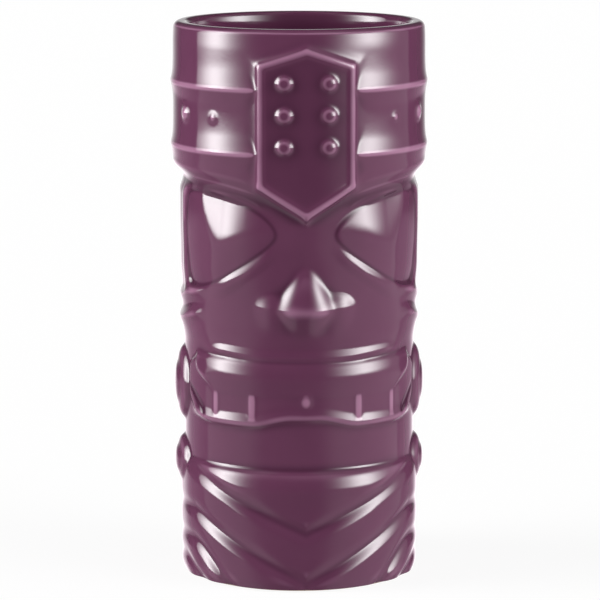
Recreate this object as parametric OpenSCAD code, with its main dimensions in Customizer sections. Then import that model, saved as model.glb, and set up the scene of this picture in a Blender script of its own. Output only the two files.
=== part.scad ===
// Tiki mug: a tall slip-cast stoneware cup with a carved face, under two coats of glaze.
// The face looks toward -Y, the foot stands on Z = 0 and the rim is up.

/* [Cup] */
// Height of the mug from the foot to the rim
mug_h = 170; // [169:0.5:176]
// Radius of the smooth headband
hat_r = 38.5; // [38:0.1:40]
// Thickness of the rim, outside to inside
rim_t = 5; // [4.6:0.1:5.6]
// Inside radius of the cup near its floor
cup_r = 31.2; // [28:0.1:31.6]
// Height of the inside floor above the table
floor_z = 6.5; // [5:0.1:12]
// Thickness of each glaze coat
glaze_t = 0.4; // [0.3:0.05:0.5]

/* [Headband] */
// How far the two ridges stand out
ridge_h = 0.75; // [0.3:0.05:1]
// How far the front and rear plates stand out
plate_h = 1.55; // [1.3:0.05:1.8]
// Diameter of the studs
stud_d = 5.2; // [4:0.1:6]
// How far the studs stand out
stud_h = 1.2; // [0.8:0.1:1.4]

/* [Face] */
// How far the nose stands out
nose_h = 4.3; // [3:0.1:4.5]
// How far the eyes bulge
eye_h = 0.6; // [0.4:0.05:0.9]
// How far the lips stand out
lip_h = 1.5; // [1:0.1:1.8]
// How deep the grooves of the beard are
beard_h = 0.9; // [0.6:0.1:1.2]
// How far the ear discs stand out
ear_h = 3.1; // [1.5:0.1:3.3]

/* [Hidden] */

waist_r = 35.2;         // plain wall between the carvings
arc_mm = 0.655;         // length of one degree along the wall
ridge_zs = [152.4, 133.3];
plate_angle = 21.5;     // half of the angle that a plate covers
plate_top = 164.5;      // upper point of a plate
plate_shoulder = 159.6; // upper ends of its straight sides
plate_hip = 123;        // lower ends of its straight sides
plate_low = 113.8;      // lower point of a plate
brim_rise = 3.8;        // how much the brim's edge climbs from the plate to the ears
plate_studs = [[9.6, 154.3], [9.6, 144.8], [9.6, 135.4]]; // angle from the middle, height
bumps = [[45, 143.2, 1, 0.42], [65.5, 143.6, 1.75, 1]]; // angle, height, spread, rise
draw_z = 163.5;         // the headband draws in from here up to the rim
ear_discs = [[59, 11.5, 16], [35, 7.5, 17]]; // middle height, half height, half angle
nose_z = [100, 87.3, 77.8]; // root, tip and base of the nose
wing_at = [9.8, 86.8];  // middle of a nose wing, across and up
eye_mid = 43;           // angle of the middle of an eye
eye_end = 71;           // angle of its outer corner
teeth_z = 65.2;         // top of the teeth, under the rolled upper lip
bar_angles = [26.5, 47.5]; // ribs between the teeth
bead_z = 58.5;          // bead in the middle of the mouth
rib_zs = [79.6, 86.6];  // two ribs on each cheek
beard_z = 30.5;         // the beard rounds off above this
lip_out = 2;            // rounding of the rim outside
lip_in = 1.6;           // rounding of the rim inside
rim_draw = 0.15;        // how far the headband draws in under the rim
lip_z = mug_h - lip_out;
rim_in_r = hat_r - rim_t;
crest_r = (hat_r - rim_draw - lip_out + rim_in_r + lip_in) / 2;
cup_bend = 9;           // rounding between the wall and the floor inside
cup_flare = 0.15;       // how far the inside opens out below the rim
flare_z = 165.5;        // height where it starts to open
glaze_z = 0.8;          // the outer coat stops this high above the table
foot_r = 34.2;          // outside of the bare foot ring
foot_in_r = 29.5;       // inside of the bare foot ring
recess_z = 2;           // depth of the hollow under the base
round_fn = 96;

clay_col = [0.80, 0.72, 0.60];
glaze_col = [0.42, 0.28, 0.37];
liner_col = [0.36, 0.22, 0.31];

// ---- Curves
function clamp01(x) = max(0, min(1, x));
function ease(a, b, x) = let (t = clamp01((x - a) / (b - a))) t * t * (3 - 2 * t);
function bell(d, w) = exp(-(d * d) / (w * w));
function dome(t) = t < 1 ? sqrt(1 - t * t) : 0;
// Angle away from the front, 0 to 180 on either side, so that left and right match
function fold(ang) = abs(ang) > 180 ? 360 - abs(ang) : abs(ang);
// The back repeats the headband, the ears and the beard of the front
function side_of(ang) = min(fold(ang), 180 - fold(ang));
// The larger of two values, blended where they are close
function soft_max(a, b, k) = let (top = max(a, b)) top + k * ln(exp((a - top) / k) + exp((b - top) / k));

// ---- Headband: two ridges, and a pointed plate with studs at the front and at the rear
function ridge(z, z0) = ridge_h * (z > z0 ? exp((z0 - z) / 2.1) : exp(-pow((z0 - z) / 2.8, 1.7)));
function brim_edge(m) = m < plate_angle
    ? plate_low + (plate_hip - plate_low) * m / plate_angle
    : plate_hip + brim_rise * (1 - exp((plate_angle - m) / 14));
function brow_groove(m) = 111.7 + 12.8 * (1 - exp(-m / 24));
function plate_inset(m, z) = min(
    (plate_angle - m) * arc_mm,
    (plate_top - (plate_top - plate_shoulder) * m / plate_angle - z) * 0.95,
    (z - brim_edge(min(m, plate_angle))) * 0.84);
function plate(d) = plate_h * exp(min(d - 0.2, 0) / 0.9) - 0.4 * ease(1.5, 2.4, d);
// Distance to a place on the headband
function near(m, z, p) = norm([(m - p[0]) * arc_mm * 1.03, z - p[1]]);
// Distance to the nearest stud's middle, as a share of the stud's radius
function stud_gap(m, z) = min([for (p = plate_studs) near(m, z, p)]) / (stud_d / 2);
function studs(m, z) = stud_h * pow(max(0, 1 - pow(stud_gap(m, z), 3)), 0.8)
    + bumps[0][3] * bell(near(m, z, bumps[0]), bumps[0][2])
    + bumps[1][3] * bell(near(m, z, bumps[1]), bumps[1][2]);
function headband(m, z) = hat_r
    - rim_draw * pow(max(0, z - draw_z) / (lip_z - draw_z), 2)
    + max(ridge(z, ridge_zs[0]) + ridge(z, ridge_zs[1]), plate(plate_inset(m, z)))
    + studs(m, z);

// ---- Eyes: a bulging drop with a crest across it, over a raised lower lid
function eye_top(m) = 108.3 + 12.2 * (1 - exp(-max(0, m - 12) / 15));
function eye_low(m) = let (k = m - 12) 108.9 - 0.56 * k + 0.0041 * k * k;
function eye_inset(m, z) = let (
    above = (eye_top(m) - z) * 0.85,
    below = (z - eye_low(m)) * 0.88,
    outer = (eye_end - m) * arc_mm)
    0.5 - soft_max(soft_max(-above, -below, 2.4), -outer, 2.4);
function ramp(x) = (norm([2.5, x]) + x) / 2;
function eyeball(m, z) = let (
    up = z - (108.4 - 5.4 * ease(12, 64, m)),
    across = (m - eye_mid) * arc_mm / 12,
    lifted = up - 14 * pow(clamp01((m - eye_mid) / 12.5), 2) - 3.5 * clamp01((eye_mid - m) / 14),
    tilt = 0.07 * (ramp(lifted) + ramp(-up) - 2.5) + 0.003 * pow(max(lifted, 0), 2)
        + 0.4 * ease(44, 57, m),
    twist = 0.05 * across * exp(-across * across) * max(0, min(10, 10 - up)) * ease(-8, 0, up))
    eye_h - tilt - 0.4 * (1 - exp(-across * across)) - twist;
function lower_lid(m, z, d) = let (
    along = 0.4 * ease(11, 22, m) * ease(54, 40, m) * ease(112, 104, z) + 0.35 * ease(54, 68, m))
    sin(180 * clamp01(-d / 5.2)) * along * ease(124, 116, z) * ease(86, 78, m);
function eyes(m, z) = let (d = eye_inset(m, z), t = ease(-0.8, 0.9, d))
    (lower_lid(m, z, d) * (1 - t) + eyeball(m, z) * t) * ease(86, 91, z);
// The brow swells a little above the eyes and falls back under the brim beside them
function brow_crease(m, z) = let (below = brow_groove(m) - z)
    0.1 * ease(3.2, 0.6, below) - 1.05 * ease(58, 80, m) * ease(5.4, 1.2, below);

// ---- Nose: a pyramid with a wing on each side
function nose(m, z) = let (
    x = m * arc_mm,
    above = max((nose_z[0] - z) / (nose_z[0] - nose_z[1]), 0),
    half = 1.4 + 8.6 * min(above, 1),
    lift = -soft_max(-pow(above, 0.75), (nose_z[2] - z) / 7.5, 0.1),
    fall = pow(max(0.15, min(above, 1)), 0.75) * pow(norm([x, 0.2 * half]) / half, 2.2),
    bridge = nose_h * (lift - fall) - 1.1 * pow(1 - min(above, 1), 2),
    reach = z > wing_at[1] ? 3.8 : 7,
    wing = 1.3 * (1 - pow((x - wing_at[0]) / 5.6, 2) - pow((z - wing_at[1]) / reach, 2)))
    soft_max(soft_max(bridge, wing, 0.5), 0, 0.45);

// ---- Mouth: a flared upper edge, a barrel of teeth and a flared lower lip
function muzzle_edge(m) = 71.9 + 0.9 * ease(15, 50, m);
function low_lip(m) = 54 - 2.3 * ease(6, 27, m) + 1.2 * ease(50, 66, m);
// A skirt that spreads down to a rounded edge at zero and turns back in below it
function flare(up, reach, under) = up > 0
    ? exp(-(norm([up, 0.9]) - 0.9) / reach)
    : dome(clamp01(-up / under));
function mouth_rim(z) = 72.5 - 7 * ease(58, 52, z) - 9 * ease(65.5, 70.5, z);
function roll(z, gap) = z > teeth_z
    ? dome(clamp01((z - teeth_z) / (gap - teeth_z)))
    : 1 - 0.35 * ease(teeth_z, 60.8, z) - 0.3 * ease(61, 59.4, z);
// The slanted cut at each corner of the mouth
function corner_cut(m, z) = let (along = clamp01((z - 52) / 8))
    bell((m - 56.5 - 13.5 * pow(along, 1.3)) * arc_mm * 0.75, 0.55 + 1.2 * along * (1 - along))
    * ease(51.4, 52.6, z) * ease(61.5, 59, z);
// A flat rib between the teeth
function bar(m, z, middle, half) = exp(-pow((m - middle) * arc_mm / half, 4))
    * ease(61.2, 59.4, z) * ease(low_lip(m), low_lip(m) + 1, z);
function mouth(m, z) = let (
    low = low_lip(m),
    edge = muzzle_edge(m),
    upper = 0.55 * flare(z - edge, 1.5, 1.5) * ease(62, 44, m),
    thick = (1 - 0.25 * ease(44, 60, m) * ease(63, 67, z)) * ease(53, 48.5, m - 13 * ease(60, 67, z)),
    barrel = z < edge - 1.9 ? roll(z, edge - 1.9) * thick * ease(low - 1, low + 1.5, z) : 0,
    lower = 0.78 * flare(z - low, 1.8, 1.8) * ease(72, 58, m),
    bead = 0.3 * pow(clamp01(1 - pow(m * arc_mm / 2.8, 2) - pow((z - bead_z) / 3.5, 2)), 2),
    corner = 0.45 * ease(2.5, -1.5, m - mouth_rim(z)) * ease(51, 53.5, z) * ease(71.5, 69.5, z),
    lips = pow(pow(barrel, 3) + pow(lower, 3) + pow(corner, 3), 1 / 3),
    bars = max(0, 0.66 - lips) * (bar(m, z, bar_angles[0], 1.35) + bar(m, z, bar_angles[1], 1.2)))
    lip_h * (upper + lips + bars + bead - 0.15 * corner_cut(m, z));

// ---- Ears, cheeks and beard
function disc(m, z, form) = let (
    q = norm([(90 - m) / form[2], (z - form[0]) / form[1]]))
    ear_h * (pow(max(0, 1 - q * q), 0.6) - 0.07 * bell(q - 0.6, 0.12));
function ribs(m, z) = let (climb = 3 * ease(88, 60, m))
    (0.9 * bell(z - rib_zs[0] - climb, 1.9) + 0.75 * bell(z - rib_zs[1] - climb, 1.8)) * ease(55, 68, m);
// Each groove of the beard: height at the ear, drop to the middle, angle where it bends, steepness
grooves = [[37.3, 19.2, 75, 1.15], [22.5, 19.8, 64, 1.15], [13.2, 54.8, 66, 1.66], [6.5, 59.7, 76, 1.6]];
function groove(m, g) = g[0] - g[1] * pow(clamp01(1 - m / g[2]), g[3]);
function groove_gap(m, z) = min([for (g = grooves)
    abs(z - groove(m, g)) / norm([1, (groove(m + 0.5, g) - groove(m - 0.5, g)) / arc_mm])]);
function beard(m, z) = let (
    bulge = 0.8 + beard_h * (1 - bell(groove_gap(m, z), 2)) * (1 - 0.55 * ease(64, 82, m)),
    belly = 0.7 * ease(24, 32, z) * max(0, 1 - pow(m / 62, 2)))
    (bulge + belly) * dome(clamp01((z - beard_z) / 6.6)) - 2 * (1 - dome(clamp01(1 - z / 5)));

// ---- The whole outside, as the radius at an angle and a height
function wall(ang, z) = let (back = ease(90, 115, fold(ang)))
    waist_r + 0.6 * ease(72 - 18 * back, 78 + 8 * back, z) + 0.5 * ease(88, 97, z) + 0.2 * ease(97, 112, z);
function face(m, z) = nose(m, z)
    + (z > 80 ? eyes(m, z) + 0.5 * bell(m, 10) * ease(98, 106, z) : mouth(m, z));
function carving(ang, z) = let (m = side_of(ang))
    wall(ang, z) + brow_crease(m, z) + ribs(m, z)
    + (fold(ang) < 90 ? ease(90, 80, m) * face(m, z) : 0)
    + max(disc(m, z, ear_discs[0]), disc(m, z, ear_discs[1]), beard(m, z));
function outside(ang, z) = let (
    m = side_of(ang),
    t = ease(brow_groove(m) - 0.9, brim_edge(m) + 1, z))
    (t < 1 ? (1 - t) * carving(ang, z) : 0) + (t > 0 ? t * headband(m, z) : 0);

// ---- Grid over the outside: columns by angle, rows that follow the brim and the brow
half_columns = concat(
    [0, 5.4, 8.7, 13.8],
    [plate_angle - 2.2, plate_angle - 0.4, plate_angle + 1.6],
    [for (a = [27.5:6:69.5]) a],
    [76, 83, 90, 104, 122, 140],
    [180 - plate_angle - 1.6, 180 - plate_angle + 0.8, 166.2, 171.3, 174.6, 180]);
last_half = len(half_columns) - 1;
columns = concat(half_columns, [for (i = [last_half - 1:-1:1]) -half_columns[i]]);
low_rows = concat(
    [glaze_z, 2.4, 4.6],
    [for (z = [7.2:3:34.3]) z],
    [36.2, 38.6, 46.5, 50.6],
    [52, 53.4, 55.4, 58.8, 61.2, 64.8, 67, 69, 70.4, 71.9, 74.2],
    [77, 79.8, 82.4, 84.6, 86.8, 89]);
eye_rows = [for (f = [0.09:0.17:0.9]) f];
brow_rows = [0, 0.5, 1];
high_rows = [131.3, 133.3, 135.4, 138.2, 142, 144.8, 147.6, 150.6, 152.4, 154.3, 157.2, 160.2, 164.5];
rounding = [0, 45, 90];
// One column of the grid, as [radius, height] from the foot edge over the rim to its crest
function profile(ang) = let (m = side_of(ang), brow = brow_groove(m), brim = brim_edge(m) + 1)
    concat(
        [for (z = low_rows) [outside(ang, z), z]],
        [for (f = eye_rows) let (z = 91 + f * (brow - 1.7 - 91)) [outside(ang, z), z]],
        [[outside(ang, brow - 1.7), brow - 1.7]],
        [for (f = brow_rows) let (z = brow + f * (brim - brow)) [outside(ang, z), z]],
        [for (z = high_rows) [outside(ang, z), z]]);
// The same column, moved inward by the given depth, with the rounded rim added
function coat(ang, depth) = concat(
    [for (p = profile(ang)) [p[0] - depth, p[1]]],
    [for (a = rounding)
        [hat_r - rim_draw - lip_out + (lip_out - depth) * cos(a), lip_z + (lip_out - depth) * sin(a)]],
    [[crest_r, mug_h - depth]]);
function around(ang, rz) = [rz[0] * sin(ang), -rz[0] * cos(ang), rz[1]];

// Two triangles that fill a quad, split so that the left of the face mirrors the right
function halves(a, b, c, d, left) = left ? [[a, b, d], [b, c, d]] : [[a, b, c], [a, c, d]];
// Triangles between neighbouring columns of a grid whose points start at index "first"
function skin(first, rows, cols, inner) = [
    for (c = [0:cols - 1])
        for (r = [0:rows - 2])
            let (
                a = first + c * rows + r,
                b = first + (c + 1) % cols * rows + r,
                left = 2 * c >= cols)
                each inner ? halves(a, b, b + 1, a + 1, left) : halves(b + 1, b, a, a + 1, left)];

// Closed solid inside the given depth
module carved_core(depth) {
    grid = [for (ang = columns) coat(ang, depth)];
    rows = len(grid[0]);
    cols = len(columns);
    polyhedron(
        points = [for (c = [0:cols - 1]) for (p = grid[c]) around(columns[c], p)],
        faces = concat(
            skin(0, rows, cols, false),
            [[for (c = [0:cols - 1]) c * rows]],
            [[for (c = [cols - 1:-1:0]) c * rows + rows - 1]]));
}

// Shell between the outside and the given depth
module carved_shell(depth) {
    outer = [for (ang = columns) coat(ang, 0)];
    inner = [for (ang = columns) coat(ang, depth)];
    rows = len(outer[0]);
    cols = len(columns);
    under = cols * rows;
    polyhedron(
        points = concat(
            [for (c = [0:cols - 1]) for (p = outer[c]) around(columns[c], p)],
            [for (c = [0:cols - 1]) for (p = inner[c]) around(columns[c], p)]),
        faces = concat(
            skin(0, rows, cols, false),
            skin(under, rows, cols, true),
            [for (c = [0:cols - 1]) let (a = c * rows, b = (c + 1) % cols * rows)
                [a, b, under + b, under + a]],
            [for (c = [1:cols]) let (a = c * rows - 1, b = (c % cols + 1) * rows - 1)
                [a, under + a, under + b, b]]));
}

// Radius of the cup's inside between its floor and its rim
function cup_wall(z) = cup_r
    + (rim_in_r - cup_flare - cup_r) * (z - floor_z - cup_bend) / (mug_h - lip_in - floor_z - cup_bend)
    + cup_flare * pow(max(0, z - flare_z) / (mug_h - lip_in - flare_z), 2);
// Outline of the cup's inside, grown by the given depth, for turning about Z.
// It rounds over the rim's inner edge as far as the given angle.
function cup_outline(depth, last) = let (
    r = cup_r + depth,
    low = floor_z - depth,
    bend = cup_bend + depth,
    arc = lip_in - depth)
    concat(
        [[0, low]],
        [for (a = [-90:15:0]) [r - bend + bend * cos(a), low + bend + bend * sin(a)]],
        [for (z = [flare_z, flare_z + 1.4]) [cup_wall(z) + depth, z]],
        [for (a = [180:-15:last]) [rim_in_r + lip_in + arc * cos(a), mug_h - lip_in + arc * sin(a)]]);

// The clay under the liner: its rim edge ends in a short slope, up to a height over the rim
function clay_outline(over) = let (
    edge = cup_outline(glaze_t, 120),
    top = edge[len(edge) - 1],
    climb = mug_h + over - top[1])
    concat(edge, [[top[0] + climb * tan(60), mug_h + over]]);

module stoneware_body() color(clay_col) difference() {
    union() {
        carved_core(glaze_t);
        cylinder(h = floor_z / 2, r = foot_r, $fn = round_fn);
    }
    rotate_extrude($fn = round_fn)
        polygon(concat(clay_outline(lip_in), [[0, mug_h + lip_in]]));
    translate([0, 0, -recess_z])
        cylinder(h = 2 * recess_z, r = foot_in_r, $fn = round_fn);
}

module outer_glaze() color(glaze_col)
    carved_shell(glaze_t);

module liner_glaze() color(liner_col) {
    drink = cup_outline(0, 90);
    rotate_extrude($fn = round_fn)
        polygon(concat(
            clay_outline(-glaze_t),
            [[crest_r, mug_h - glaze_t], [crest_r, mug_h]],
            [for (i = [len(drink) - 1:-1:0]) drink[i]]));
}

stoneware_body();
outer_glaze();
liner_glaze();
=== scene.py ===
import math

import bmesh
import bpy
import numpy as np
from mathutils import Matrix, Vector


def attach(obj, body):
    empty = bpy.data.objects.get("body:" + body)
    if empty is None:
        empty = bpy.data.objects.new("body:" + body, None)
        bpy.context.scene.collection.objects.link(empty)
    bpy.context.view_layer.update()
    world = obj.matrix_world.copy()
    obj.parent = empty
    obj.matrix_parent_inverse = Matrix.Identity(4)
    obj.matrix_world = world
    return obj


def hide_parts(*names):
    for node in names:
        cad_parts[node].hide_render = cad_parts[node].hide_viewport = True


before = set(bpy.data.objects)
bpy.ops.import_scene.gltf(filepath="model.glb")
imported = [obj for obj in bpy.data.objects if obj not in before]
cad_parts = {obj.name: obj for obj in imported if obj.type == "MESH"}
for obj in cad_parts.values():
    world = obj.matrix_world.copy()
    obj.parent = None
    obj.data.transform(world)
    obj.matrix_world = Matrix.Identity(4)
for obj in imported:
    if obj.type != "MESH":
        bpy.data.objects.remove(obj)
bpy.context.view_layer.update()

MM = 0.001

# ---------------------------------------------------------------- dimensions, in millimetres and degrees
# The outside is a radius at each angle and height. An angle is measured from the middle of the face,
# and repeats in mirror image at the sides and the back. A name that ends in _Z is a height.
MUG_H = 170.0
HAT_R = 38.5            # outside of the headband between its ridges
WAIST_R = 35.2          # outside of the plain wall
ARC_MM = 0.655          # one degree of the outside
GLAZE_Z = 0.8           # the glaze starts here, above the bare foot
GLAZE_T = 0.4

# Headband
RIDGE_H = 0.75
RIDGE_ZS = (152.4, 133.3)
PLATE_H = 1.55
PLATE_ANGLE = 21.5      # half the plate's width
PLATE_TOP = 164.5
PLATE_SHOULDER = 159.6
PLATE_HIP = 123.0
PLATE_LOW = 113.8
STUD_D = 5.2
STUD_H = 1.2
STUDS = ((9.6, 154.3), (9.6, 144.8), (9.6, 135.4))    # angle, height
BUMPS = ((45, 143.2, 1.0, 0.42), (65.5, 143.6, 1.75, 1.0))    # angle, height, spread, rise
BRIM_RISE = 3.8         # from the plate's hips round to the sides
DRAW_Z = 163.5          # the headband draws in from here up to the rim
RIM_DRAW = 0.15

# Face
EYE_H = 0.6
EYE_MID = 43            # angle of the middle of an eye
EYE_END = 71            # angle of its outer corner
NOSE_H = 4.3
NOSE_ROOT_Z = 100
NOSE_TIP_Z = 87.3
NOSE_BASE_Z = 77.8
WING_AT = (9.8, 86.8)   # middle of a nose wing, across and up
LIP_H = 1.5
TEETH_Z = 65.2          # top of the teeth, under the rolled upper lip
BARS = ((26.5, 1.35), (47.5, 1.2))    # ribs between the teeth: angle, half width
BEAD_Z = 58.5           # bead in the middle of the mouth
RIB_ZS = (79.6, 86.6)   # two ribs on each cheek

# Ears and beard
EAR_H = 3.1
EAR_DISCS = ((59, 11.5, 16), (35, 7.5, 17))    # middle height, half height, half angle
BEARD_H = 0.9
BEARD_Z = 30.5          # the beard rounds off above this
# Each groove of the beard: height at the ear, drop to the middle, angle where it bends, steepness
GROOVES = ((37.3, 19.2, 75, 1.15), (22.5, 19.8, 64, 1.15), (13.2, 54.8, 66, 1.66), (6.5, 59.7, 76, 1.6))

# Rim, cup and foot
RIM_T = 5.0
RIM_IN_R = HAT_R - RIM_T
LIP_OUT = 2.0           # radius of the rim's rounding outside
LIP_IN = 1.6            # and inside
LIP_Z = MUG_H - LIP_OUT
CREST_R = (HAT_R - RIM_DRAW - LIP_OUT + RIM_IN_R + LIP_IN) / 2
CUP_R = 31.2            # inside, at the floor
CUP_BEND = 9.0          # rounding between the wall and the floor
CUP_FLARE = 0.15
FLARE_Z = 165.5
FLOOR_Z = 6.5
FOOT_R = 34.2
FOOT_IN_R = 29.5
RECESS_Z = 2.0


# ---------------------------------------------------------------- curves
def ease(a, b, x):
    """Smooth step from 0 at a to 1 at b."""
    t = np.clip((x - a) / (b - a), 0, 1)
    return t * t * (3 - 2 * t)


def bell(d, w):
    return np.exp(-(d / w) ** 2)


def dome(t):
    return np.sqrt(np.clip(1 - t * t, 0, 1)) * (t < 1)


# ---------------------------------------------------------------- headband
def ridge(z, z0):
    """A line round the headband, sharp at z0, with a steep side above and a round one below."""
    under = np.exp(-(np.maximum(z0 - z, 0) / 2.8) ** 1.7)
    return RIDGE_H * np.where(z > z0, np.exp(np.minimum(z0 - z, 0) / 2.1), under)


def brim_edge(m):
    """Height of the brim's curled edge, which is the plate's V in the middle."""
    near = PLATE_LOW + (PLATE_HIP - PLATE_LOW) * m / PLATE_ANGLE
    far = PLATE_HIP + BRIM_RISE * (1 - np.exp((PLATE_ANGLE - m) / 14))
    return np.where(m < PLATE_ANGLE, near, far)


def brow_groove(m):
    """Height of the groove under the brim."""
    return 111.7 + 12.8 * (1 - np.exp(-m / 24))


def plate_inset(m, z):
    """Distance inside the plate's outline."""
    side = (PLATE_ANGLE - m) * ARC_MM
    top = (PLATE_TOP - (PLATE_TOP - PLATE_SHOULDER) * m / PLATE_ANGLE - z) * 0.95
    low = (z - brim_edge(np.minimum(m, PLATE_ANGLE))) * 0.84
    return np.minimum(side, np.minimum(top, low))


def plate(d):
    """The plate's rise at a distance inside its outline, with a border above a sunken field."""
    return PLATE_H * np.exp(np.minimum(d - 0.2, 0) / 0.9) - 0.4 * ease(1.5, 2.4, d)


def gap_to(m, z, place):
    """Distance to a place on the headband, in millimetres."""
    return np.hypot((m - place[0]) * ARC_MM * 1.03, z - place[1])


def stud_gap(m, z):
    """Distance to the nearest stud's middle, as a share of the stud's radius."""
    return np.minimum.reduce([gap_to(m, z, place) for place in STUDS]) / (STUD_D / 2)


def bumps(m, z, grow):
    """The small bumps between the ridges, as wide as they are or grown."""
    return sum(rise * bell(gap_to(m, z, (across, up)), grow * spread)
               for across, up, spread, rise in BUMPS)


def studs(m, z):
    return STUD_H * np.clip(1 - stud_gap(m, z) ** 3, 0, 1) ** 0.8 + bumps(m, z, 1)


def headband(m, z):
    bands = ridge(z, RIDGE_ZS[0]) + ridge(z, RIDGE_ZS[1])
    taper = RIM_DRAW * (np.maximum(0, z - DRAW_Z) / (LIP_Z - DRAW_Z)) ** 2
    return HAT_R - taper + np.maximum(bands, plate(plate_inset(m, z))) + studs(m, z)


# ---------------------------------------------------------------- eyes
def eye_top(m):
    return 108.3 + 12.2 * (1 - np.exp(-np.maximum(0, m - 12) / 15))


def eye_low(m):
    k = m - 12
    return 108.9 - 0.56 * k + 0.0041 * k * k


def eye_inset(m, z):
    """Distance inside the eye's outline, with its corners rounded."""
    k = 2.4
    above = (eye_top(m) - z) * 0.85
    below = (z - eye_low(m)) * 0.88
    outer = (EYE_END - m) * ARC_MM
    return -k * np.logaddexp(np.logaddexp(-above / k, -below / k), -outer / k) + 0.5


def ramp(x):
    """Zero on the left, rising as steeply as x on the right, rounded in between."""
    return (np.hypot(2.5, x) + x) / 2


def eyeball(m, z):
    """The eye's surface, which falls away above and below a V-shaped crest."""
    up = z - (108.4 - 5.4 * ease(12, 64, m))
    across = (m - EYE_MID) * ARC_MM / 12
    lifted = up - 14 * np.clip((m - EYE_MID) / 12.5, 0, 1) ** 2 - 3.5 * np.clip((EYE_MID - m) / 14, 0, 1)
    tilt = -0.07 * (ramp(lifted) + ramp(-up) - 2.5) - 0.003 * np.maximum(lifted, 0) ** 2
    tilt = tilt - 0.4 * ease(44, 57, m)
    twist = 0.05 * across * np.exp(-across ** 2) * np.clip(10 - up, 0, 10) * ease(-8, 0, up)
    return EYE_H + tilt - 0.4 * (1 - np.exp(-across ** 2)) - twist


def lower_lid(m, z, d):
    """A roll round the outside of the eye, at its lower edge and its outer corner."""
    t = np.clip(-d / 5.2, 0, 1)
    along = 0.4 * ease(11, 22, m) * ease(54, 40, m) * ease(112, 104, z) + 0.35 * ease(54, 68, m)
    return np.sin(math.pi * t) * along * ease(124, 116, z) * ease(86, 78, m)


def brow_crease(m, z):
    """The brow swells a little above the eyes and falls back under the brim beside them."""
    below = brow_groove(m) - z
    return 0.1 * ease(3.2, 0.6, below) - 1.05 * ease(58, 80, m) * ease(5.4, 1.2, below)


def eyes(m, z):
    d = eye_inset(m, z)
    t = ease(-0.8, 0.9, d)
    return (lower_lid(m, z, d) * (1 - t) + eyeball(m, z) * t) * ease(86, 91, z)


# ---------------------------------------------------------------- nose
def soft_max(a, b, k):
    """The larger of two heights, blended over about k."""
    return k * np.logaddexp(a / k, b / k)


def nose(m, z):
    """A pyramid from the root to the tip, undercut down to the base, with a wing on each side."""
    x = m * ARC_MM
    above = np.maximum((NOSE_ROOT_Z - z) / (NOSE_ROOT_Z - NOSE_TIP_Z), 0)
    half = 1.4 + 8.6 * np.minimum(above, 1)
    lift = -soft_max(-above ** 0.75, (NOSE_BASE_Z - z) / 7.5, 0.1)
    fall = np.clip(above, 0.15, 1) ** 0.75 * (np.hypot(x, 0.2 * half) / half) ** 2.2
    bridge = NOSE_H * (lift - fall) - 1.1 * (1 - np.minimum(above, 1)) ** 2
    wing_x, wing_z = WING_AT
    reach = np.where(z > wing_z, 3.8, 7)
    wing = 1.3 * (1 - np.hypot((x - wing_x) / 5.6, (z - wing_z) / reach) ** 2)
    return soft_max(soft_max(bridge, wing, 0.5), 0 * z, 0.45)


# ---------------------------------------------------------------- mouth
def muzzle_edge(m):
    """Height of the mouth's flared upper edge."""
    return 71.9 + 0.9 * ease(15, 50, m)


def low_lip(m):
    """Height of the flared lower lip's edge."""
    return 54 - 2.3 * ease(6, 27, m) + 1.2 * ease(50, 66, m)


def flare(up, reach, under):
    """A skirt that spreads down to a rounded edge at zero and turns back in below it."""
    spread = np.exp(-(np.hypot(np.maximum(up, 0), 0.9) - 0.9) / reach)
    return np.where(up > 0, spread, dome(np.clip(-up / under, 0, 1)))


def mouth_rim(z):
    """Angle of the mouth's outer end."""
    return 72.5 - 7 * ease(58, 52, z) - 9 * ease(65.5, 70.5, z)


def slit(m, z, spread):
    """How near a point is to the slanted cut at each corner of the mouth, 0 to 1."""
    along = np.clip((z - 52) / 8, 0, 1)
    gap = (m - 56.5 - 13.5 * along ** 1.3) * ARC_MM * 0.75
    width = spread * (0.55 + 1.2 * along * (1 - along))
    return bell(gap, width) * ease(51.4, 52.6, z) * ease(61.5, 59, z)


def bar(m, z, middle, half):
    """A flat rib between the teeth, 0 to 1."""
    low = low_lip(m)
    return np.exp(-((m - middle) * ARC_MM / half) ** 4) * ease(61.2, 59.4, z) * ease(low, low + 1, z)


def bead_form(m, z):
    """The bead in the middle of the mouth, 0 to 1."""
    return np.clip(1 - (m * ARC_MM / 2.8) ** 2 - ((z - BEAD_Z) / 3.5) ** 2, 0, 1) ** 2


def mouth(m, z):
    """From the top: the flared edge, the rolled lip, the teeth with their ribs, and the lower lip."""
    low = low_lip(m)
    edge = muzzle_edge(m)
    gap = edge - 1.9
    upper = 0.55 * flare(z - edge, 1.5, 1.5) * ease(62, 44, m)
    roll = dome(np.clip((z - TEETH_Z) / (gap - TEETH_Z), 0, 1))
    under = 1 - 0.35 * ease(TEETH_Z, 60.8, z) - 0.3 * ease(61, 59.4, z)
    thick = (1 - 0.25 * ease(44, 60, m) * ease(63, 67, z)) * ease(53, 48.5, m - 13 * ease(60, 67, z))
    barrel = np.where(z > TEETH_Z, roll, under) * thick * ease(low - 1, low + 1.5, z) * (z < gap)
    lower = 0.78 * flare(z - low, 1.8, 1.8) * ease(72, 58, m)
    corner = 0.45 * ease(2.5, -1.5, m - mouth_rim(z)) * ease(51, 53.5, z) * ease(71.5, 69.5, z)
    lips = (barrel ** 3 + lower ** 3 + corner ** 3) ** (1 / 3)
    teeth = np.maximum(0, 0.66 - lips) * sum(bar(m, z, *form) for form in BARS) + 0.3 * bead_form(m, z)
    return LIP_H * (upper + lips + teeth - 0.15 * slit(m, z, 1))


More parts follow.
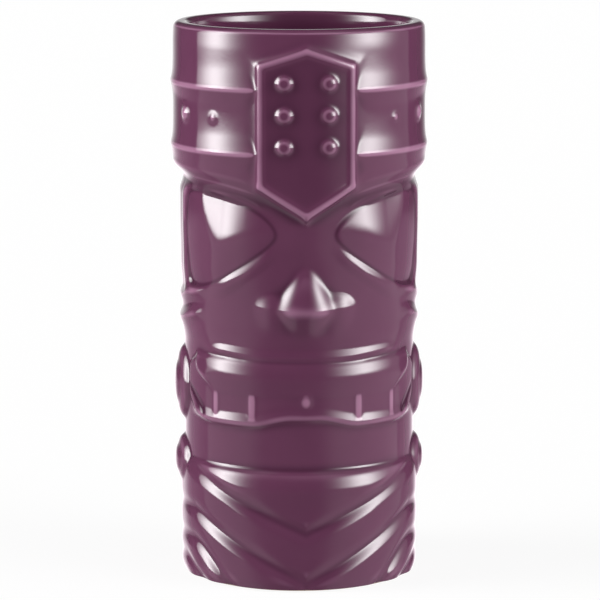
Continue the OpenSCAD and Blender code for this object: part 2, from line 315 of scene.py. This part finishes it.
# ---------------------------------------------------------------- ears, cheeks and beard
def disc(m, z, middle_z, half_h, half_angle):
    """A domed ear disc with a faint ring in it."""
    q = np.hypot((90 - m) / half_angle, (z - middle_z) / half_h)
    return EAR_H * (np.clip(1 - q * q, 0, 1) ** 0.6 - 0.07 * bell(q - 0.6, 0.12))


def ribs(m, z):
    """Two ribs on the cheek that climb toward the side."""
    climb = 3 * ease(88, 60, m)
    lower = 0.9 * bell(z - RIB_ZS[0] - climb, 1.9)
    upper = 0.75 * bell(z - RIB_ZS[1] - climb, 1.8)
    return (lower + upper) * ease(55, 68, m)


def groove(m, level, drop, knee, power):
    """Height of one groove of the beard."""
    return level - drop * np.clip(1 - m / knee, 0, 1) ** power


def groove_gap(m, z):
    """Distance to the nearest groove."""
    gaps = []
    for form in GROOVES:
        slope = (groove(m + 0.5, *form) - groove(m - 0.5, *form)) / ARC_MM
        gaps.append(np.abs(z - groove(m, *form)) / np.sqrt(1 + slope * slope))
    return np.minimum.reduce(gaps)


def beard(m, z):
    weak = 0.55 * ease(64, 82, m)
    bulge = 0.8 + BEARD_H * (1 - bell(groove_gap(m, z), 2.0)) * (1 - weak)
    top = dome(np.clip((z - BEARD_Z) / 6.6, 0, 1))
    belly = 0.7 * ease(24, 32, z) * np.clip(1 - (m / 62) ** 2, 0, 1)
    return (bulge + belly) * top - 2 * (1 - dome(np.clip(1 - z / 5, 0, 1)))


# ---------------------------------------------------------------- whole outside
def wall(fold, z):
    """The plain wall, a little wider toward the brow. fold is the angle from the face, 0 to 180."""
    back = ease(90, 115, fold)
    step = 0.6 * ease(72 - 18 * back, 78 + 8 * back, z)
    return WAIST_R + step + 0.5 * ease(88, 97, z) + 0.2 * ease(97, 112, z)


def face(m, z):
    bridge = 0.5 * bell(m, 10) * ease(98, 106, z)
    return nose(m, z) + np.where(z > 80, eyes(m, z) + bridge, mouth(m, z))


def carving(fold, m, z):
    """Everything under the brim. The face is on the front only."""
    front = np.where(fold < 90, ease(90, 80, m), 0)
    low = np.maximum.reduce([disc(m, z, *form) for form in EAR_DISCS] + [beard(m, z)])
    return wall(fold, z) + brow_crease(m, z) + ribs(m, z) + front * face(m, z) + low


def outside(ang, z):
    """Radius of the glazed outside at an angle from the face, in degrees, and a height."""
    fold = np.abs((ang + 180) % 360 - 180)
    m = np.minimum(fold, 180 - fold)
    t = ease(brow_groove(m) - 0.9, brim_edge(m) + 1.0, z)
    return (1 - t) * carving(fold, m, z) + t * headband(m, z)


# ---------------------------------------------------------------- build: grids to meshes
COLUMNS = 640
ROW_MM = 0.4
INNER_ROW_MM = 1.3      # rows of the surfaces that are never seen
CLAY_COLUMNS = 320
LINER_COLUMNS = 192
SOFT_MM = 0.4           # how far the glaze rounds off the carving
MEAN_R = 37
SHARP = math.radians(50)


def weld(mesh):
    """Merge the points that lie on each other, which are the ones on the axis."""
    form = bmesh.new()
    form.from_mesh(mesh)
    bmesh.ops.remove_doubles(form, verts=form.verts, dist=1e-7)
    form.to_mesh(mesh)
    form.free()


def turn_grid(name, columns, radius, height, values=None, closed=True):
    """A mesh from rows of radii and heights (rows x columns, millimetres), turned round the Z axis.

    A section that isn't closed starts and ends on the axis.
    """
    rows = radius.shape[0]
    ang = np.linspace(0, 2 * math.pi, columns, endpoint=False)
    x = radius * np.sin(ang) * MM
    y = -radius * np.cos(ang) * MM
    z = np.broadcast_to(height, radius.shape) * MM
    verts = np.stack([x, y, z], -1).reshape(-1, 3)
    r = np.arange(rows if closed else rows - 1)[:, None]
    c = np.arange(columns)[None, :]
    r2 = (r + 1) % rows
    c2 = (c + 1) % columns
    quads = np.stack([r * columns + c, r * columns + c2, r2 * columns + c2, r2 * columns + c], -1)
    mesh = bpy.data.meshes.new(name)
    mesh.from_pydata(verts.tolist(), [], quads.reshape(-1, 4).tolist())
    if not closed:
        weld(mesh)
    mesh.update()
    mesh.shade_smooth()
    mesh.set_sharp_from_angle(angle=SHARP)
    for key, data in (values or {}).items():
        layer = mesh.attributes.new(key, "FLOAT", "POINT")
        layer.data.foreach_set("value", np.ascontiguousarray(data, dtype=np.float32).ravel())
    obj = bpy.data.objects.new(name, mesh)
    bpy.context.scene.collection.objects.link(obj)
    return obj


def blur(grid, row_sigma, col_sigma):
    """Gaussian blur of a grid that wraps round its columns."""
    def kernel(sigma):
        n = int(math.ceil(3 * sigma))
        k = np.exp(-0.5 * (np.arange(-n, n + 1) / sigma) ** 2)
        return k / k.sum(), n
    k, n = kernel(col_sigma)
    wrapped = np.concatenate([grid[:, -n:], grid, grid[:, :n]], 1)
    out = sum(w * wrapped[:, i:i + grid.shape[1]] for i, w in enumerate(k))
    k, n = kernel(row_sigma)
    padded = np.concatenate([out[:1].repeat(n, 0), out, out[-1:].repeat(n, 0)], 0)
    return sum(w * padded[i:i + grid.shape[0]] for i, w in enumerate(k))


angles = np.arange(COLUMNS) * 360.0 / COLUMNS
heights = np.arange(GLAZE_Z, LIP_Z + ROW_MM / 2, ROW_MM)
A, Z = np.meshgrid(angles, heights)
col_mm = 2 * math.pi * MEAN_R / COLUMNS
skin = blur(outside(A, Z), SOFT_MM / ROW_MM, SOFT_MM / col_mm)


def standing_out(size):
    """How far the surface stands out of its surroundings of this size, in millimetres."""
    return skin - blur(skin, size / ROW_MM, size / col_mm)


# The glaze is thin and pink where "edge" is high, and dark where the pooling value is low: pooled glaze,
# and painted shade in creases and hollows. Both start from how far the surface stands out, and the named
# features then get a little more of one or the other.
edge = 0.6 * standing_out(0.7) + 0.4 * standing_out(1.6)
pool_and_shade = standing_out(2.2)
M = np.abs((A + 90) % 180 - 90)
FRONT = ease(90, 80, M) * (np.abs((A + 180) % 360 - 180) < 90)
inset = plate_inset(M, Z)
off_plate = ease(-0.5, -1.5, inset)
eye_d = eye_inset(M, Z)
groove_z = brow_groove(M)

# Darker: the plate's sunken field (pooled glaze), the line round each eye (pooled glaze and painted shade
# in the crease), the cuts beside the mouth and a band under the brim's groove (painted shade)
eye_line = bell(eye_d, 0.7) * ease(126, 122, Z) * ease(88, 92, Z)
pool_and_shade -= 0.3 * ease(1.5, 3, inset)
# Pooled glaze and painted shade along the crease round each eye; painted shade round the cuts at the
# mouth's corners, wider than the cuts.
pool_and_shade -= FRONT * (0.45 * eye_line + slit(M, Z, 2.3))
# Painted shade in a band just under the brim's groove.
pool_and_shade -= 0.4 * bell(Z - groove_z + 1.2, 1.1) * ease(16, 24, M)

# Not so thin: the tops of the studs, the V of the plate's border
edge -= 0.35 * bell(stud_gap(M, Z), 0.5)
edge -= 0.14 * ease(PLATE_HIP + 1, PLATE_HIP - 1, Z) * bell(inset - 0.5, 1.2)

# Thin and pink: the bumps, the ridges, the brim, the upper lid, the ribs of the teeth and the bead; under
# each ridge the pink band is also a painted sheen
brim_t = np.clip((Z - groove_z + 0.9) / (brim_edge(M) + 1.9 - groove_z), 0, 1)
upper_lid = bell(eye_d + 2.2, 1.2) * ease(108, 112, Z) * ease(124, 120, Z) * ease(15, 24, M)
edge += 0.25 * bumps(M, Z, 1.3)
# Under each ridge: thin glaze and a painted sheen, a pale band on the slope that faces down.
edge += 0.26 * off_plate * sum(bell(Z - ridge_z + 0.4, 0.8) for ridge_z in RIDGE_ZS)
edge += 0.2 * off_plate * bell(brim_t - 0.35, 0.14)
edge += FRONT * 0.16 * upper_lid
edge += FRONT * (0.25 * bar(M, Z, *BARS[0]) + 0.2 * bar(M, Z, *BARS[1]) + 0.2 * bead_form(M, Z))


def lip(depth, start, end, steps):
    """Rounded outside of the rim, as rows of radii and heights, from one angle to another."""
    a = np.radians(np.linspace(start, end, steps))
    r = LIP_OUT - depth
    return HAT_R - RIM_DRAW - LIP_OUT + r * np.cos(a), LIP_Z + r * np.sin(a)


def outer_glaze():
    ring = np.ones((1, COLUMNS))
    up_r, up_z = lip(0, 0, 90, 12)
    down_r, down_z = lip(GLAZE_T, 90, 0, 8)
    inner_z = np.arange(GLAZE_Z, LIP_Z, INNER_ROW_MM)[::-1]
    Ai, Zi = np.meshgrid(angles, inner_z)
    radius = np.concatenate([
        skin,
        up_r[1:, None] * ring,
        np.array([CREST_R, CREST_R])[:, None] * ring,
        down_r[:-1, None] * ring,
        outside(Ai, Zi) - GLAZE_T])
    height = np.concatenate([heights, up_z[1:], [MUG_H, MUG_H - GLAZE_T], down_z[:-1], inner_z])
    spare = len(height) - len(heights)
    thin = np.zeros((spare, 1))
    thin[:len(up_z) - 1, 0] = 0.24 * bell(np.linspace(8, 90, len(up_z) - 1) - 28, 12)
    values = {
        "edge": np.concatenate([edge, thin * ring]),
        "pool_and_shade": np.concatenate([pool_and_shade, np.zeros((spare, COLUMNS))])}
    return turn_grid("outer_glaze_coat", COLUMNS, radius, height[:, None], values)


def cup_outline(depth):
    """Inside of the cup, grown by a depth, from the middle of the floor up to the crest of the rim."""
    r = CUP_R + depth
    low = FLOOR_Z - depth
    bend = CUP_BEND + depth
    arc = LIP_IN - depth
    a = np.radians(np.linspace(-90, 0, 24))
    b = np.radians(np.linspace(180, 90, 12))
    flat = np.linspace(0, r - bend, 14)[:-1]
    wall_z = np.linspace(low + bend, FLARE_Z, 60)[1:-1]
    mouth_z = np.linspace(FLARE_Z, MUG_H - LIP_IN, 10)[:-1]
    side_z = np.concatenate([wall_z, mouth_z])
    spread = (side_z - low - bend) / (MUG_H - LIP_IN - low - bend)
    opening = np.maximum(0, side_z - FLARE_Z) / (MUG_H - LIP_IN - FLARE_Z)
    side_r = r + (RIM_IN_R - CUP_FLARE - CUP_R) * spread + CUP_FLARE * opening ** 2
    radius = np.concatenate([
        flat,
        r - bend + bend * np.cos(a),
        side_r,
        RIM_IN_R + LIP_IN + arc * np.cos(b),
        [CREST_R]])
    height = np.concatenate([
        flat * 0 + low,
        low + bend + bend * np.sin(a),
        side_z,
        MUG_H - LIP_IN + arc * np.sin(b),
        [MUG_H - depth]])
    return radius, height


def liner_glaze():
    in_r, in_z = cup_outline(0)
    out_r, out_z = cup_outline(GLAZE_T)
    radius = np.concatenate([out_r, in_r[::-1]])
    height = np.concatenate([out_z, in_z[::-1]])
    radius = radius[:, None] * np.ones((1, LINER_COLUMNS))
    return turn_grid("liner_glaze_coat", LINER_COLUMNS, radius, height[:, None], closed=False)


def stoneware_body():
    ang = np.arange(CLAY_COLUMNS) * 360.0 / CLAY_COLUMNS
    out_z = np.arange(GLAZE_Z, LIP_Z, INNER_ROW_MM)
    Ao, Zo = np.meshgrid(ang, out_z)
    up_r, up_z = lip(GLAZE_T, 0, 90, 8)
    in_r, in_z = cup_outline(GLAZE_T)
    foot_r = np.array([
        0, FOOT_IN_R - 1.2, FOOT_IN_R - 0.5, FOOT_IN_R, FOOT_IN_R + 0.25, FOOT_IN_R + 0.9,
        FOOT_R - 0.8, FOOT_R - 0.2, FOOT_R])
    foot_z = np.array([RECESS_Z, RECESS_Z, RECESS_Z - 0.25, RECESS_Z - 0.9, 0.25, 0, 0, 0.2, 0.7])
    ring = np.ones((1, CLAY_COLUMNS))
    radius = np.concatenate([
        foot_r[:, None] * ring,
        outside(Ao, Zo) - GLAZE_T,
        up_r[:, None] * ring,
        in_r[::-1][:, None] * ring])
    height = np.concatenate([foot_z, out_z, up_z, in_z[::-1]])
    return turn_grid("stoneware_casting", CLAY_COLUMNS, radius, height[:, None], closed=False)


# ---------------------------------------------------------------- materials
def node_material(name):
    """A new material, with its node tree and its shader."""
    mat = bpy.data.materials.new(name)
    mat.use_nodes = True
    tree = mat.node_tree
    return mat, tree, tree.nodes["Principled BSDF"]


def add(tree, kind, inputs=None, **props):
    """A new node, its inputs set or linked."""
    node = tree.nodes.new(kind)
    for key, value in props.items():
        setattr(node, key, value)
    for key, value in (inputs or {}).items():
        if isinstance(value, bpy.types.NodeSocket):
            tree.links.new(value, node.inputs[key])
        else:
            node.inputs[key].default_value = value
    return node


def math_node(tree, op, a, b=0.0, c=0.0):
    node = add(tree, "ShaderNodeMath", {0: a, 1: b, 2: c}, operation=op)
    return node.outputs[0]


def span(tree, value, low, high, to_low=0.0, to_high=1.0):
    """Smooth step of a socket's value, from to_low at low to to_high at high."""
    limits = {"Value": value, "From Min": low, "From Max": high, "To Min": to_low, "To Max": to_high}
    node = add(tree, "ShaderNodeMapRange", limits, interpolation_type="SMOOTHSTEP")
    return node.outputs["Result"]


def noise(tree, coords, scale, detail):
    inputs = {"Vector": coords, "Scale": scale, "Detail": detail}
    return add(tree, "ShaderNodeTexNoise", inputs).outputs["Fac"]


def mix_colour(tree, factor, a, b):
    node = add(tree, "ShaderNodeMix", data_type="RGBA")
    for socket, value in ((node.inputs[0], factor), (node.inputs[6], a), (node.inputs[7], b)):
        if isinstance(value, bpy.types.NodeSocket):
            tree.links.new(value, socket)
        else:
            socket.default_value = value
    return node.outputs[2]


def srgb(r, g, b):
    """Linear colour from display values, 0 to 255."""
    def channel(v):
        v = v / 255
        return v / 12.92 if v <= 0.04045 else ((v + 0.055) / 1.055) ** 2.4
    return (channel(r), channel(g), channel(b), 1)


# Deep purple: pooled glaze, and the painted shade in creases and under the brim.
DEEP_GLAZE_AND_SHADE = srgb(66, 31, 53)
BODY_GLAZE = srgb(102, 57, 84)
# Inside the cup: the same glaze as outside, its body colour darkened as painted shade.
LINER_GLAZE_SHADED = srgb(92, 48, 74)
# Pink of thin glaze over edges, also used as the painted sheen under the ridges.
THIN_GLAZE_AND_SHEEN = srgb(158, 112, 140)
CLAY_DARK = srgb(214, 196, 168)
CLAY_PALE = srgb(226, 211, 188)
CLAY_SPECK = srgb(150, 120, 92)


def glaze_material(name, deep_and_shade, body, thin):
    """Glossy glaze: deep where it pools and where shade is painted into creases, thin and pink where it
    breaks over an edge and where a sheen is painted under the ridges, slowly mottled between.
    """
    mat, tree, shader = node_material(name)
    coords = add(tree, "ShaderNodeTexCoord").outputs["Object"]
    edge_value = add(tree, "ShaderNodeAttribute", attribute_name="edge").outputs["Fac"]
    pool_and_shade_value = add(tree, "ShaderNodeAttribute", attribute_name="pool_and_shade").outputs["Fac"]
    cloud = noise(tree, coords, 60, 3)
    fine = noise(tree, coords, 900, 2)
    wobble = math_node(tree, "MULTIPLY_ADD", cloud, 0.06, -0.03)
    thinness_and_sheen = math_node(tree, "ADD", edge_value, wobble)
    # Deep where the glaze pools, and painted shade in creases and under the brim.
    pooled_and_shaded = span(tree, pool_and_shade_value, -0.7, -0.05, 0.8, 0)
    # Pink where the glaze is thin over an edge, and where a pale sheen is painted under the ridges.
    broken_and_sheen = span(tree, thinness_and_sheen, 0.06, 0.30)
    cooler = [0.93 * body[0], 0.9 * body[1], 0.93 * body[2], 1]
    tone = mix_colour(tree, span(tree, cloud, 0.3, 0.7), body, cooler)
    tone = mix_colour(tree, pooled_and_shaded, tone, deep_and_shade)
    tone = mix_colour(tree, broken_and_sheen, tone, thin)
    tree.links.new(tone, shader.inputs["Base Color"])
    ripple = noise(tree, coords, 110, 1)
    height = math_node(tree, "MULTIPLY_ADD", fine, 0.08, ripple)
    bump = add(tree, "ShaderNodeBump", {"Height": height, "Strength": 0.05, "Distance": 0.001})
    tree.links.new(bump.outputs["Normal"], shader.inputs["Normal"])
    tree.links.new(span(tree, fine, 0.2, 0.8, 0.06, 0.09), shader.inputs["Roughness"])
    shader.inputs["IOR"].default_value = 1.52
    shader.inputs["Coat Weight"].default_value = 0.35
    shader.inputs["Coat Roughness"].default_value = 0.04
    return mat


def clay_material():
    """Bare, speckled clay."""
    mat, tree, shader = node_material("bare_stoneware")
    coords = add(tree, "ShaderNodeTexCoord").outputs["Object"]
    grain = noise(tree, coords, 1500, 4)
    cloud = noise(tree, coords, 80, 3)
    tone = mix_colour(tree, cloud, CLAY_DARK, CLAY_PALE)
    tone = mix_colour(tree, span(tree, grain, 0.66, 0.74), tone, CLAY_SPECK)
    tree.links.new(tone, shader.inputs["Base Color"])
    tree.links.new(span(tree, grain, 0.3, 0.7, 0.75, 0.9), shader.inputs["Roughness"])
    bump = add(tree, "ShaderNodeBump", {"Height": grain, "Strength": 0.25, "Distance": 0.0004})
    tree.links.new(bump.outputs["Normal"], shader.inputs["Normal"])
    return mat


# ---------------------------------------------------------------- pieces
coat = outer_glaze()
coat.data.materials.append(glaze_material("purple_glaze", DEEP_GLAZE_AND_SHADE, BODY_GLAZE, THIN_GLAZE_AND_SHEEN))
liner = liner_glaze()
liner.data.materials.append(glaze_material("purple_liner", DEEP_GLAZE_AND_SHADE, LINER_GLAZE_SHADED, THIN_GLAZE_AND_SHEEN))
clay = stoneware_body()
clay.data.materials.append(clay_material())
for piece, node, slot in ((coat, "outer_glaze", "outer_glaze"), (liner, "liner_glaze", "liner_glaze"),
                          (clay, "stoneware_body", "bare_stoneware")):
    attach(piece, "root")
    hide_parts(node)


# ---------------------------------------------------------------- floor, studio light and camera
LEFT_BOX = 12.5
RIGHT_BOX = 11.0
SPILL_LIGHT = 0.33
TABLE_LIGHT = 0.2
NEAR_LIGHT = 0.12
ROOM_LIGHT = 0.05
WHITE = (1, 1, 1, 1)
BOUNCE = (1.0, 0.7, 0.88, 1)    # the table near the mug takes on some of its colour
FLOOR_HALF = 3.0                # metres
CAMERA_TURN = math.radians(-3.3)
CAMERA_AWAY = 1.050
CAMERA_UP = 0.254
AIM_UP = 0.085
SENSOR_MM = 36
LENS_MM = 207.174
SHIFT = (0.0016667, -0.007)


def floor():
    """A pale floor that glows nearly white and doesn't light the mug."""
    mesh = bpy.data.meshes.new("floor")
    s = FLOOR_HALF
    mesh.from_pydata([(-s, -s, 0), (s, -s, 0), (s, s, 0), (-s, s, 0)], [], [(0, 1, 2, 3)])
    obj = bpy.data.objects.new("floor", mesh)
    bpy.context.scene.collection.objects.link(obj)
    mat, tree, shader = node_material("pale_floor")
    shader.inputs["Base Color"].default_value = (0.12, 0.12, 0.12, 1)
    shader.inputs["Emission Color"].default_value = WHITE
    shader.inputs["Emission Strength"].default_value = 0.9
    shader.inputs["Roughness"].default_value = 0.8
    shader.inputs["Specular IOR Level"].default_value = 0.1
    mesh.materials.append(mat)
    obj.visible_glossy = False
    obj.visible_diffuse = False


def studio_world():
    """Two soft boxes at the sides over a bright table, a dark room in front, a bright sweep behind."""
    world = bpy.data.worlds.new("studio")
    bpy.context.scene.world = world
    world.use_nodes = True
    tree = world.node_tree
    tree.nodes.clear()
    direction = add(tree, "ShaderNodeTexCoord").outputs["Generated"]
    axes = add(tree, "ShaderNodeSeparateXYZ", {0: direction}).outputs
    side = math_node(tree, "ARCTAN2", axes[0], math_node(tree, "MULTIPLY", axes[1], -1.0))
    azimuth = math_node(tree, "DEGREES", side)
    elevation = math_node(tree, "DEGREES", math_node(tree, "ARCSINE", axes[2]))

    def product(*values):
        total = values[0]
        for value in values[1:]:
            total = math_node(tree, "MULTIPLY", total, value)
        return total

    def hump(value, middle, width):
        off = product(math_node(tree, "SUBTRACT", value, middle), 1 / width)
        return math_node(tree, "EXPONENT", product(off, off, -1.0))

    def side_light(turn, middle, width, outer, low_edge, top_edge, bright):
        """A soft box by its angles to the side and up, with a faint spill toward the front."""
        window = span(tree, turn, outer + 1, outer - 2)
        spill = product(window, span(tree, turn, middle - 50, middle - 22), SPILL_LIGHT)
        box = product(window, hump(turn, middle, width), span(tree, elevation, *low_edge),
                      span(tree, elevation, *top_edge), bright)
        return math_node(tree, "ADD", spill, box)

    left = side_light(product(azimuth, -1.0), middle=84, width=17, outer=109,
                      low_edge=(-6.8, -2.6), top_edge=(48, 22), bright=LEFT_BOX)
    right = side_light(azimuth, middle=62.5, width=19, outer=115,
                       low_edge=(-7, 0), top_edge=(38, 16), bright=RIGHT_BOX)
    turn = math_node(tree, "ABSOLUTE", azimuth)
    behind = span(tree, turn, 140, 176)
    sweep = product(behind, span(tree, elevation, 12, -2), span(tree, elevation, -50, -20))
    ahead = span(tree, turn, 20, 80, 0.1, TABLE_LIGHT)
    around = math_node(tree, "ADD", ahead, span(tree, turn, 105, 150, 0, 0.3))
    table = product(span(tree, elevation, -6.5, -10), span(tree, elevation, -50, -15, 0.3, 1), around)
    beside = product(span(tree, elevation, -15, -40), NEAR_LIGHT)
    boxes = math_node(tree, "ADD", math_node(tree, "ADD", left, right), sweep)
    white = math_node(tree, "ADD", boxes, ROOM_LIGHT)
    tinted = math_node(tree, "ADD", table, beside)
    above = add(tree, "ShaderNodeBackground", {"Color": WHITE, "Strength": white})
    bounce = add(tree, "ShaderNodeBackground", {"Color": BOUNCE, "Strength": tinted})
    studio = add(tree, "ShaderNodeAddShader", {0: above.outputs[0], 1: bounce.outputs[0]})
    paper = add(tree, "ShaderNodeBackground", {"Color": WHITE, "Strength": 1.0})
    seen = add(tree, "ShaderNodeLightPath").outputs["Is Camera Ray"]
    mixed = add(tree, "ShaderNodeMixShader", {0: seen, 1: studio.outputs[0], 2: paper.outputs[0]})
    out = tree.nodes.new("ShaderNodeOutputWorld")
    tree.links.new(mixed.outputs[0], out.inputs["Surface"])


def camera():
    data = bpy.data.cameras.new("camera")
    data.sensor_width = SENSOR_MM
    data.lens = LENS_MM
    data.shift_x, data.shift_y = SHIFT
    data.clip_start = 0.05
    obj = bpy.data.objects.new("camera", data)
    bpy.context.scene.collection.objects.link(obj)
    eye = Vector((CAMERA_AWAY * math.sin(CAMERA_TURN), -CAMERA_AWAY * math.cos(CAMERA_TURN), CAMERA_UP))
    aim = Vector((0, 0, AIM_UP))
    obj.location = eye
    obj.rotation_euler = (aim - eye).to_track_quat("-Z", "Y").to_euler()
    bpy.context.scene.camera = obj


floor()
studio_world()
camera()
bpy.context.scene.view_settings.view_transform = "Standard"
